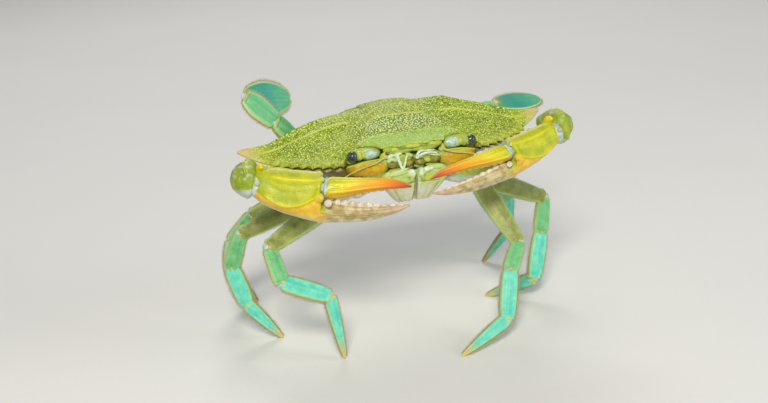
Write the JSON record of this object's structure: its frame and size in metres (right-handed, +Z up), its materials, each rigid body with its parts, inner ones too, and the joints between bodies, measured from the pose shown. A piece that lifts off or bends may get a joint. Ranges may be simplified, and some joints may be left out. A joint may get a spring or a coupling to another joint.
{
  "type": "blue swimming crab model",
  "caption": "Life-size still model of a blue swimming crab standing on its walking legs, claws folded in front and one paddle raised.",
  "frame": {"origin": "on the floor, under the middle of the model's bounding box", "axes": "+Z up, the crab faces -Y, +X towards its left side"},
  "size_m": [0.1342, 0.0834, 0.0857],
  "materials": {
    "shell": "satin, finely granular, olive green carapace",
    "belly": "satin, off-white underside with a faint blue-grey tint",
    "face": "satin olive and yellow plates under the brow",
    "mouth": "satin pale green mouth plates with white edges",
    "eyestalk": "glossy blue-white over green",
    "cornea": "very glossy, nearly black",
    "feeler": "cream",
    "arm": "satin green with yellow spines",
    "hand": "satin yellow-green with pale ridges, orange below",
    "finger": "satin yellow to orange with a pink tip",
    "leg": "satin olive",
    "leg_blue": "satin turquoise with pale edges and orange joints"
  },
  "bodies": {
    "root": {"antenna_left": "feeler", "antenna_right": "feeler", "antennule_left": "feeler", "antennule_right": "feeler", "apron": "belly", "arm_left": "arm", "arm_right": "arm", "carapace": "shell", "eye_left": "cornea", "eye_right": "cornea", "eyestalk_left": "eyestalk", "eyestalk_right": "eyestalk", "face": "face", "finger_left": "finger", "finger_right": "finger", "hand_left": "hand", "hand_right": "hand", "leg_left_1_carpus": "leg_blue", "leg_left_1_dactyl": "leg_blue", "leg_left_1_hip": "leg", "leg_left_1_merus": "leg", "leg_left_1_propodus": "leg_blue", "leg_left_2_carpus": "leg_blue", "leg_left_2_dactyl": "leg_blue", "leg_left_2_hip": "leg", "leg_left_2_merus": "leg", "leg_left_2_propodus": "leg_blue", "leg_left_3_carpus": "leg_blue", "leg_left_3_dactyl": "leg_blue", "leg_left_3_hip": "leg", "leg_left_3_merus": "leg", "leg_left_3_propodus": "leg_blue", "leg_right_1_carpus": "leg_blue", "leg_right_1_dactyl": "leg_blue", "leg_right_1_hip": "leg", "leg_right_1_merus": "leg", "leg_right_1_propodus": "leg_blue", "leg_right_2_carpus": "leg_blue", "leg_right_2_dactyl": "leg_blue", "leg_right_2_hip": "leg", "leg_right_2_merus": "leg", "leg_right_2_propodus": "leg_blue", "leg_right_3_carpus": "leg_blue", "leg_right_3_dactyl": "leg_blue", "leg_right_3_hip": "leg", "leg_right_3_merus": "leg", "leg_right_3_propodus": "leg_blue", "maxilliped_left": "mouth", "maxilliped_right": "mouth", "swimmer_left_carpus": "leg_blue", "swimmer_left_merus": "leg_blue", "swimmer_left_paddle": "leg_blue", "swimmer_left_propodus": "leg_blue", "swimmer_right_carpus": "leg_blue", "swimmer_right_merus": "leg_blue", "swimmer_right_paddle": "leg_blue", "swimmer_right_propodus": "leg_blue", "thorax": "belly", "wrist_left": "arm", "wrist_right": "arm"}
  },
  "joints": []
}
